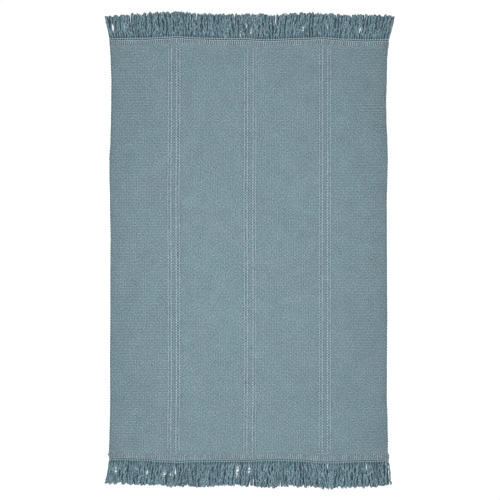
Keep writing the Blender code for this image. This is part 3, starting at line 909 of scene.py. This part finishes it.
def sewn_band(end, name):
    """Beside the corded row: a thick laid yarn, and the warps drawn up between the stitches."""
    left, right = ends_of(end)
    seed = 90 if end > 0 else 92
    rand = np.random.default_rng(seed)
    strands = Strands()
    x = np.linspace(left + 1.2, right - 1.2, 420)
    y = seam_line(x, end) - end * (3.9 + 0.2 * noise(x / 17.0, 0.5, seed + 1))
    z = FACE - 0.10 + 0.15 * np.sin(math.tau * x / 5.06)
    size = 0.82 + 0.08 * noise(x / 8.0, 1.5, seed + 1)
    # painted highlight where the laid yarn rises and painted shade where it dips, and the whole of it painted lighter
    # than the cloth
    strands.add(np.stack([x, y, z], -1)[None], size[None], 5, flat=0.85, tone=(1.0 + (0.54 if end > 0 else 0.62) * np.sin(math.tau * x / 5.06) + 0.10 * noise(x / 6.0, 2.5, seed + 1))[None], relief=1.64 if end > 0 else 1.33)
    start = np.arange(left + 1.6, right - 1.2, STITCH)
    n = len(start)
    along = np.linspace(0.0, 1.0, 9)[None, :]
    hump = np.abs(np.sin(math.tau * along))
    sway = rand.uniform(-0.30, 0.30, (n, 2))
    x = start[:, None] + sway[:, :1] * (1 - along) + sway[:, 1:] * along
    out = 4.4 + rand.uniform(-0.3, 0.3, n)[:, None] + ((8.6 if end > 0 else 10.6) + rand.uniform(-1.0, 1.2, n)[:, None]) * along
    y = seam_line(x, end) - end * out
    drawn = 0.55 + 0.45 * noise(start / 13.0, 3.5, seed + 1)[:, None]
    z = FACE - 0.85 + (0.62 + 0.25 * drawn) * hump ** 0.6
    size = (0.86 + 0.10 * rand.uniform(-1, 1, n)[:, None]) * (0.70 + 0.30 * hump)
    # painted highlight: the drawn-up warps are painted lighter than the cloth, the more so the higher they are drawn
    tone = (1.19 if end > 0 else 1.11) + 0.11 * drawn + 0.24 * rand.uniform(-1, 1, n)[:, None]
    tone = tone + 0.30 * noise(np.arange(n)[:, None] * 1.7, 5.0 * along, seed + 9)
    strands.add(np.stack([x, y, z], -1), size, 5, flat=0.9, tone=tone, relief=1.31 + 0.10 * hump)
    threads = Strands()
    for out, dark in ((6.6, 0.66), (10.4, 0.55), (8.5, 1.15)) if end > 0 else ((6.8, 0.85), (13.4, 0.55), (10.0, 1.15)):
        x0 = start[:-1] + STITCH / 2
        x = x0[:, None] + np.array([-1.15, -0.5, 0.5, 1.15])[None]
        y = seam_line(x, end) - end * (out + rand.uniform(-0.3, 0.3, n - 1)[:, None])
        z = np.full(x.shape, FACE - 0.35) + np.array([-0.5, 0.0, 0.0, -0.5])[None]
        path = np.stack([x, y, z], -1)
        tone = dark + 0.10 * rand.uniform(-1, 1, n - 1)[:, None] + np.zeros((1, 4))
        sewn = (rand.random(n - 1) < (0.50 if out < 8 else 0.28)) | (np.minimum(x0 - left, right - x0) < 20.0)
        # painted shade: where no thread shows, a short dark piece of cloth yarn sits in the stitch's dip
        if dark < 1.0:
            strands.add(path[~sewn], 0.52, 4, tone=tone[~sewn], relief=1.0)
        threads.add(path[sewn] + np.array([0.0, 0.0, 0.12]), 0.46, 4, tone=tone[sewn] + 0.22, relief=1.0)
    return strands.build(name, cord_finish), threads.build(name + "_thread", thread_finish)


far_band, far_thread = sewn_band(1, "sewn_band_far")
near_band, near_thread = sewn_band(-1, "sewn_band_near")


def heading_stitches(end, name):
    """Machine stitches over the heading, in short runs, back-tacked at both ends."""
    seed = 95 if end > 0 else 97
    rand = np.random.default_rng(seed)
    strands = Strands()
    bend = np.array([0.0, 0.18, 0.5, 0.82, 1.0])
    rise = np.array([-0.85, 0.02, 0.20, 0.02, -0.85])
    for which in (2, 5):
        row = which if end < 0 else PICKS - 1 - which
        xs, ys = grid_x[row], grid_y[row]
        left, right = xs[0], xs[-1]
        plain = np.arange(left + 22.0, right - 22.0, STITCH)
        plain = plain[noise(plain / 34.0, float(which), seed + 2) > -0.05]
        # back-tacks: the machine runs over the first and last 17 mm again
        runs = [plain]
        runs += [np.arange(left + 0.4, left + 18.0, STITCH), np.arange(right - 20.0, right - 2.5, STITCH)]
        runs += [np.arange(left + 2.4, left + 15.0, STITCH), np.arange(right - 17.0, right - 3.0, STITCH)]
        for run, x0 in enumerate(runs):
            n = len(x0)
            span = 2.4
            aside = 0.0 if run < 3 else rand.uniform(-1.5, 1.5, n)
            x = x0[:, None] + span * bend[None]
            y = np.interp(x, xs, ys) + (rand.uniform(-0.25, 0.25, n) + aside)[:, None]
            z = FACE + 0.22 + rise[None] + 0.12 * (run > 2)
            tone = 0.98 + 0.14 * rand.uniform(-1, 1, n)
            strands.add(np.stack([x, y, z + np.zeros_like(x)], -1), np.full((n, 5), 0.43), 4, tone=tone[:, None] * np.ones(5), relief=1.0)
    return strands.build(name, thread_finish)


far_stitches = heading_stitches(1, "heading_stitches_far")
near_stitches = heading_stitches(-1, "heading_stitches_near")


def thread_tails():
    """Trimmed tails and small knots of the stitching thread at the near corners."""
    strands = Strands()
    rand = np.random.default_rng(101)
    for cx, cy, side in ((-282.4, -409.0, -1), (276.6, -410.0, 1), (277.0, -414.6, 1)):
        a = np.linspace(0, 3.4 * math.tau, 56)
        x = cx + 1.05 * np.cos(a) + side * 0.25 * np.sin(a * 0.31)
        y = cy + 1.75 * np.sin(a) * np.cos(a * 0.13) + 0.5 * np.sin(a * 0.7)
        z = 2.9 + 0.55 * np.sin(a * 1.4 + 0.5)
        strands.add(np.stack([x, y, z], -1)[None], np.full((1, 56), 0.33), 5, tone=1.0, relief=1.0)
    for cx, cy, side in ((-282.0, -411.0, -1), (277.4, -412.0, 1), (-281.0, 416.5, -1), (277.6, 413.0, 1)):
        s = np.linspace(0, 1, 12)
        x = cx + side * (-1.2 + 3.0 * s) + 0.5 * np.sin(s * 5.0)
        y = cy + rand.uniform(-1.0, 1.0) + 4.0 * s * rand.uniform(-1.0, 1.0)
        z = 3.9 - 2.6 * s ** 2
        strands.add(np.stack([x, y, z], -1)[None], np.full((1, 12), 0.24), 4, tone=1.0, relief=1.0)
    return strands.build("thread_tails", thread_finish)


tails = thread_tails()


# ---- loose fibres ----------------------------------------------------------------------------
def loose_fibres():
    """Short hairs that stand off the yarns, and a stray end of yarn on the far fringe."""
    rand = np.random.default_rng(111)
    strands = Strands()
    count = 1500
    row = rand.integers(4, PICKS - 4, count)
    col = rand.integers(2, WARPS - 2, count)
    edge = rand.random(count) < 0.35
    col = np.where(edge, np.where(rand.random(count) < 0.5, 0, WARPS - 1), col)
    x0, y0, z0 = grid_x[row, col], grid_y[row, col], face_z[row, col]
    heading_of = rand.uniform(0, math.tau, count)
    heading_of = np.where(edge, np.where(col == 0, math.pi, 0.0) + rand.normal(0, 0.7, count), heading_of)
    reach = rand.uniform(1.2, 3.6, count)
    s = np.linspace(0, 1, 4)[None, :]
    bow = rand.normal(0, 0.6, count)[:, None] * s * (1 - s) * 4
    x = x0[:, None] + reach[:, None] * np.cos(heading_of)[:, None] * s - bow * np.sin(heading_of)[:, None] * 0.5
    y = y0[:, None] + reach[:, None] * np.sin(heading_of)[:, None] * s + bow * np.cos(heading_of)[:, None] * 0.5
    z = z0[:, None] - 0.1 + rand.uniform(0.2, 1.0, count)[:, None] * 4 * s * (1 - s * 0.75)
    z = np.where(edge[:, None], np.maximum(0.3, z0[:, None] - 0.4 - 1.2 * s), z)
    strands.add(np.stack([x, y, z], -1), np.broadcast_to(np.array([0.09, 0.08, 0.07, 0.04]), (count, 4)), 3,
                tone=(1.05 + 0.1 * rand.uniform(-1, 1, count))[:, None] * np.ones(4), relief=1.0)
    s = np.linspace(0, 1, 26)
    x = 15.5 + 12.5 * s + 0.8 * np.sin(s * 4.0)
    y = 435.0 - 10.5 * s + 0.6 * np.sin(s * 9.0)
    z = 4.7 + 0.5 * np.sin(s * math.pi) - 0.5 * s
    strands.add(np.stack([x, y, z], -1)[None], np.full((1, 26), 0.42), 5, tone=1.22, relief=1.0)
    return strands.build("loose_fibres", cord_finish)


fibres = loose_fibres()

# ---- riding and replacing ----------------------------------------------------------------------
on_cloth = [floats, turns, far_band, near_band, far_thread, near_thread, far_stitches, near_stitches, tails, fibres]
at_ends = [far_cord, near_cord, far_fringe, near_fringe]
for piece in [cloth] + on_cloth + at_ends:
    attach(piece, "root")
for piece in [cloth] + on_cloth:
    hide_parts("cloth")
for piece, node in ((far_cord, "fringe_far"), (far_fringe, "fringe_far"), (near_cord, "fringe_near"), (near_fringe, "fringe_near")):
    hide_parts(node)

# ---- floor, light and camera -------------------------------------------------------------------
scene = bpy.context.scene


def stage_floor():
    mesh = bpy.data.meshes.new("floor")
    mesh.from_pydata([(-30, -30, 0), (30, -30, 0), (30, 30, 0), (-30, 30, 0)], [], [(0, 1, 2, 3)])
    obj = bpy.data.objects.new("floor", mesh)
    scene.collection.objects.link(obj)
    material = bpy.data.materials.new("floor_white")
    material.use_nodes = True
    shader = material.node_tree.nodes["Principled BSDF"]
    shader.inputs["Base Color"].default_value = (0.86, 0.86, 0.855, 1.0)
    shader.inputs["Roughness"].default_value = 0.9
    shader.inputs["Specular IOR Level"].default_value = 0.1
    shader.inputs["Emission Color"].default_value = (1.0, 1.0, 1.0, 1.0)
    shader.inputs["Emission Strength"].default_value = 0.44
    material.cycles.emission_sampling = "NONE"
    mesh.materials.append(material)
    return obj


floor = stage_floor()

world = bpy.data.worlds.new("studio")
scene.world = world
world.use_nodes = True
background = world.node_tree.nodes["Background"]
background.inputs["Color"].default_value = (0.985, 0.992, 1.0, 1.0)
background.inputs["Strength"].default_value = 0.58

lamp = bpy.data.lights.new("softbox", "AREA")
lamp.shape = "RECTANGLE"
lamp.size, lamp.size_y = 0.5, 1.1
lamp.energy = 4.9
lamp.color = (1.0, 0.995, 0.985)
softbox = bpy.data.objects.new("softbox", lamp)
softbox.location = (-0.02, -0.08, 0.95)
softbox.visible_camera = False
scene.collection.objects.link(softbox)

lens = bpy.data.cameras.new("photo")
lens.lens, lens.sensor_width, lens.sensor_fit = 100.0, 36.0, "AUTO"
lens.clip_start, lens.clip_end = 0.1, 100.0
camera = bpy.data.objects.new("photo", lens)
camera.location = (0.0, 0.0, 1.0 * 100.0 / 36.0 + 0.0035)
camera.rotation_euler = (0.0, 0.0, 0.0)
scene.collection.objects.link(camera)
scene.camera = camera
scene.cycles.denoising_prefilter = "FAST"  # the other choices smear yarns as fine as these
scene.view_settings.view_transform = "Standard"
scene.view_settings.look = "None"
scene.view_settings.exposure = 0.0
scene.view_settings.gamma = 1.0
